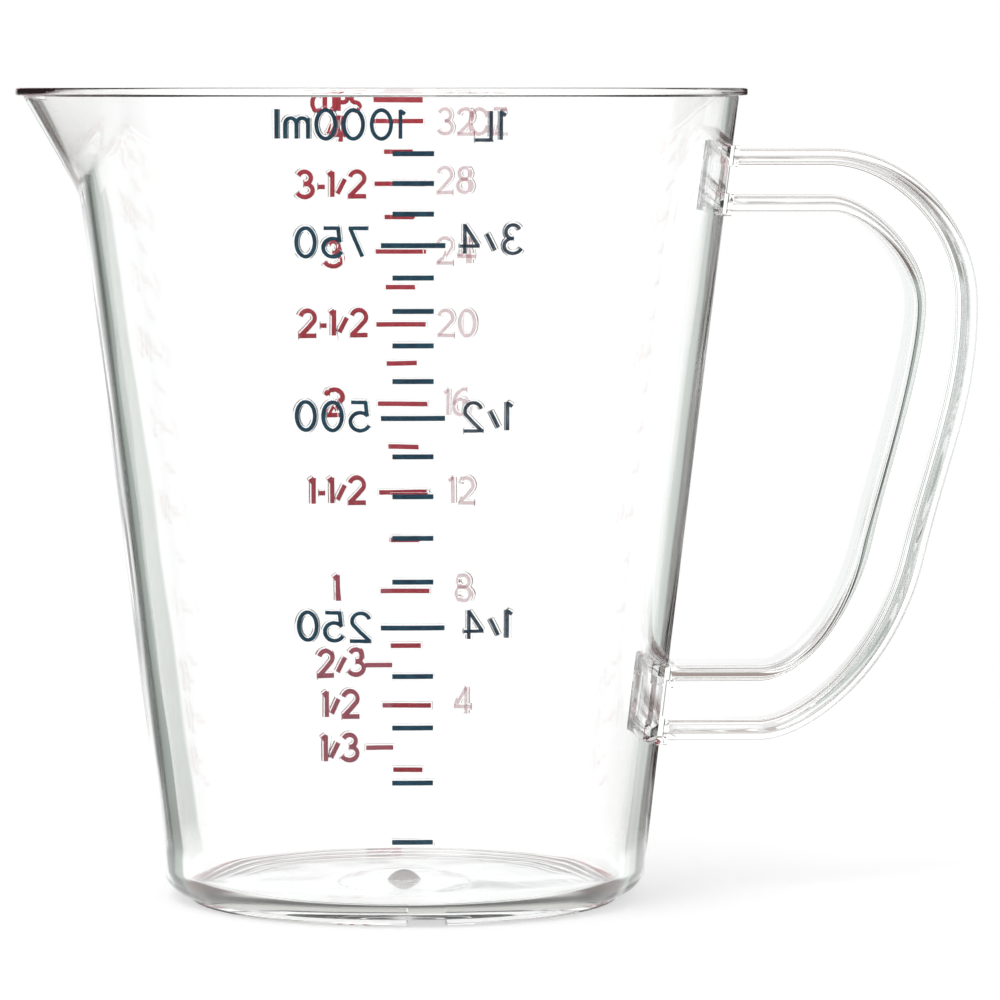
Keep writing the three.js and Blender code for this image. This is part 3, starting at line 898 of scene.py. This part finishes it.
# Floor, light and camera. A ramp lists places and brightness round one panel; mirrored runs round the room.
studio = {
    "straight": [(0.0, 0.95), (0.12, 0.95), (0.17, 0.6), (0.28, 0.75), (0.3, 0.84), (0.335, 1), (0.69, 1),
                 (0.7, 0.6), (0.75, 0.56), (0.79, 0.5), (0.84, 0.45), (0.9, 0.6), (0.95, 0.95)],
    "turned": [(0.12, 0.8), (0.16, 0.65), (0.22, 0.58), (0.26, 0.1), (0.4, 0.04), (0.42, 0.3), (0.44, 1),
               (0.67, 1), (0.69, 0.64), (0.745, 0.56), (0.775, 0.07), (0.87, 0.05), (0.9, 0.34),
               (0.97, 0.42)],
    "mirrored": [(0.22, 0.3), (0.3, 0.25), (0.48, 0.05), (0.493, 1), (0.585, 1), (0.6, 0.05),
                 (0.72, 0.25), (0.78, 0.3)],
    "shadeTint": (0.95, 1.0, 0.97, 1),
    "panelTurn": 85.0,
    # underNear to underReach: a painted shadow on the floor under the foot, seen only by light turned once
    # inside the plastic
    "underNear": 0.0365,
    "underFar": 0.0385,
    "underShades": (0.62, 0.12),
    "underReach": (0.0392, 0.042),
    "throughGain": 1.22,
    "floorRadius": 0.34,
    "floorSides": 96,
    "floorDrop": 0.02,
    "floorColour": (0.7, 0.7, 0.7, 1),
    "underShadeColour": (1.0, 0.99, 0.94, 1),
    "floorGlow": 0.42,
    "floorGlowThrough": 0.72,
    "clearNear": 0.055,
    "clearFar": 0.1,
    "skyForObject": 0.9,
    "panels": 4,
    "ceiling": (0.3, 0.25, 0.23, 1),
    "ceilingReach": (0.34, 0.5),
    "cellar": (0.68, 0.68, 0.68, 1),
    "cellarTurned": (0.82, 0.82, 0.8, 1),
    "cellarReach": (-0.5, -0.3),
    "sunk": (0.145, 0.115, 0.108, 1),
    "sunkReach": (-0.3, -0.18),
    "sunkDepth": (-0.7, -0.5),
    "frontGrey": 0.25,
    "frontReach": (-0.3, 0.3),
    "mirrorTint": (1.0, 0.91, 0.89, 1),
}


def buildFloor():
    sides, low = studio["floorSides"], -studio["floorDrop"]
    rings = [[(studio["floorRadius"] * r / mm * math.cos(2 * math.pi * i / sides),
               studio["floorRadius"] * r / mm * math.sin(2 * math.pi * i / sides), low)
              for i in range(sides)] for r in (1.0, 0.6, 0.3)]
    floor = loft("floor", rings + [[(0, 0, low)]])
    made, graph = newMaterial("palePaper")
    path = graph.node("ShaderNodeLightPath")
    rays = path.socket.node.outputs
    clear = Wire(graph, rays["Is Transmission Ray"])
    seen = Wire(graph, rays["Is Camera Ray"]) + Wire(graph, rays["Is Glossy Ray"]) * (1 - clear)
    paper = graph.node("ShaderNodeBsdfDiffuse", None, {"Color": studio["floorColour"]})
    glow = graph.node("ShaderNodeEmission", None, {
        "Color": (1, 1, 1, 1), "Strength": seen * studio["floorGlow"] + clear * studio["floorGlowThrough"],
    })
    both = graph.node("ShaderNodeAddShader", None, {0: paper, 1: glow})
    place = graph.node("ShaderNodeTexCoord", None, None, "Object")
    place = graph.node("ShaderNodeVectorMath", {"operation": "SUBTRACT"}, {0: place, 1: (axisX * mm, 0, 0)})
    reach = graph.node("ShaderNodeVectorMath", {"operation": "LENGTH"}, {0: place}, 1)
    bounced = clear.maths("MAXIMUM", clear, Wire(graph, rays["Is Glossy Ray"]))
    gone = graph.ease(reach, studio["clearNear"], studio["clearFar"]) * bounced
    turned = Wire(graph, rays["Glossy Depth"])
    turnedOnce = clear * turned.maths("GREATER_THAN", turned, 0.5) * turned.maths("LESS_THAN", turned, 1.5)
    beyond = graph.node("ShaderNodeBsdfTransparent", None, {"Color": (1, 1, 1, 1)})
    # painted shadow: an emission, paler inside the foot ring and dark just outside it, stands in for the
    # shaded table under the cup
    shade = graph.ease(reach, studio["underNear"], studio["underFar"], *studio["underShades"])
    shade = graph.node("ShaderNodeEmission", None, {"Color": studio["underShadeColour"], "Strength": shade})
    both = graph.node("ShaderNodeMixShader", None, {0: turnedOnce, 1: both, 2: shade})
    turnedAny = clear * turned.maths("GREATER_THAN", turned, 0.5)
    gone = gone.maths("MAXIMUM", gone, graph.ease(reach, *studio["underReach"]) * turnedAny)
    both = graph.node("ShaderNodeMixShader", None, {0: gone, 1: both, 2: beyond})
    graph.node("ShaderNodeOutputMaterial", None, {"Surface": both})
    floor.data.materials.append(made)
    if floor.data.polygons[0].normal.z < 0:
        floor.data.flip_normals()
    floor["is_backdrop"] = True


def buildWorld():  # white to the camera; clear plastic sees a ring of white panels with grey gaps
    world = bpy.data.worlds.new("studio")
    bpy.context.scene.world = world
    world.use_nodes = True
    world.node_tree.nodes.clear()
    graph = Graph(world.node_tree)
    way = graph.node("ShaderNodeTexCoord", None, None, "Generated")
    split = graph.node("ShaderNodeSeparateXYZ", None, {"Vector": way}).socket.node
    x, y, z = (Wire(graph, split.outputs[k]) for k in range(3))
    turn = y.maths("ARCTAN2", y, x) - math.radians(studio["panelTurn"])
    turn = turn * (studio["panels"] / (2 * math.pi))
    across = turn.maths("FRACT", turn + 0.5)  # 0.5 at the middle of a panel, 0 and 1 in the gaps
    behind = turn.maths("FRACT", turn / studio["panels"] + 0.5)
    roof = graph.ease(z, *studio["ceilingReach"])
    cellar = graph.ease(z, *studio["cellarReach"], 1.0, 0.0)
    white = (1, 1, 1, 1)

    def panels(name, place, tint=studio["shadeTint"]):  # the tint is strongest in the half tones
        stops = [(at, tuple(v + (1 - v) * v * (t - 1) * 4 for t in tint[:3]) + (1,))
                 for at, v in studio[name]]
        return graph.ramp(place, stops)

    def mixed(share, first, second):
        return graph.node("ShaderNodeMix", {"data_type": "RGBA"}, {0: share, 6: first, 7: second}, 2)

    path = graph.node("ShaderNodeLightPath").socket.node.outputs
    clear = Wire(graph, path["Is Transmission Ray"])
    direct = clear.maths("LESS_THAN", Wire(graph, path["Diffuse Depth"]), 0.5)
    crossed = clear.maths("GREATER_THAN", Wire(graph, path["Transmission Depth"]), 2.5)
    turnedBack = clear.maths("GREATER_THAN", Wire(graph, path["Glossy Depth"]), 0.5)
    turnedOnce = turnedBack * clear.maths("LESS_THAN", Wire(graph, path["Glossy Depth"]), 1.5)
    tangled = crossed * turnedBack
    ahead = graph.ease(y, *studio["frontReach"])
    front = (studio["frontGrey"],) * 3 + (1,)
    turned = mixed(ahead, front, panels("turned", across))
    room = mixed(roof, mixed(turnedOnce, panels("straight", across), turned), studio["ceiling"])
    room = mixed(cellar, room, mixed(turnedBack, studio["cellar"], studio["cellarTurned"]))
    glossy = Wire(graph, path["Is Glossy Ray"])
    plain = mixed(Wire(graph, path["Is Camera Ray"]), (studio["skyForObject"],) * 3 + (1,), white)
    plain = mixed(tangled * direct, plain, mixed(ahead, front, white))
    seen = mixed(clear * direct * (1 - tangled), plain, room)
    sunk = graph.ease(z, *studio["sunkReach"], 1.0, 0.0) * graph.ease(z, *studio["sunkDepth"]) * turnedBack
    seen = mixed(sunk * clear * direct, seen, studio["sunk"])
    seen = mixed(glossy * direct * (1 - clear), seen, panels("mirrored", behind, studio["mirrorTint"]))
    gain = 1 + clear * direct * (studio["throughGain"] - 1)
    sky = graph.node("ShaderNodeBackground", None, {"Color": seen, "Strength": gain})
    graph.node("ShaderNodeOutputWorld", None, {"Surface": sky})


def addLamp(name, place, aim, size, power):
    light = bpy.data.lights.new(name, "AREA")
    light.shape, light.size, light.energy = "DISK", size, power
    holder = bpy.data.objects.new(name, light)
    holder.location = place
    holder.rotation_euler = (Vector(aim) - Vector(place)).to_track_quat("-Z", "Y").to_euler()
    holder.visible_camera = False
    bpy.context.scene.collection.objects.link(holder)


lamp = {"place": (-0.35, -0.55, 0.75), "aim": (0, 0, 0.06), "size": 0.5, "power": 2.2}

view = {
    "sensor": 36,
    "focal": 5684.3,  # in pixels of a picture 1000 wide
    "turn": 2.0,
    "distance": 995.4,
    "sideways": 16.89,
    "height": 141.8,
    "pitch": 0.0722,
}


def addCamera():
    lens = bpy.data.cameras.new("camera")
    lens.sensor_width = view["sensor"]
    lens.lens = view["focal"] / 1000 * view["sensor"]
    turn = math.radians(view["turn"])
    right = Vector((math.cos(turn), -math.sin(turn), 0))
    ahead = Vector((math.sin(turn), math.cos(turn), 0))
    place = Vector((axisX, 0, view["height"])) + right * view["sideways"] - ahead * view["distance"]
    aim = ahead * math.cos(view["pitch"]) - Vector((0, 0, 1)) * math.sin(view["pitch"])
    camera = bpy.data.objects.new("camera", lens)
    camera.location = place * mm
    camera.rotation_euler = aim.to_track_quat("-Z", "Y").to_euler()
    lens.clip_start = 0.05
    bpy.context.scene.collection.objects.link(camera)
    bpy.context.scene.camera = camera


buildFloor()
buildWorld()
addLamp("softBox", **lamp)
addCamera()
cycles = bpy.context.scene.cycles
cycles.max_bounces = 32
cycles.transmission_bounces = 32
cycles.glossy_bounces = 16
cycles.transparent_max_bounces = 32
bpy.context.scene.view_settings.view_transform = "Standard"
print("studio ready")

low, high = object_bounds()
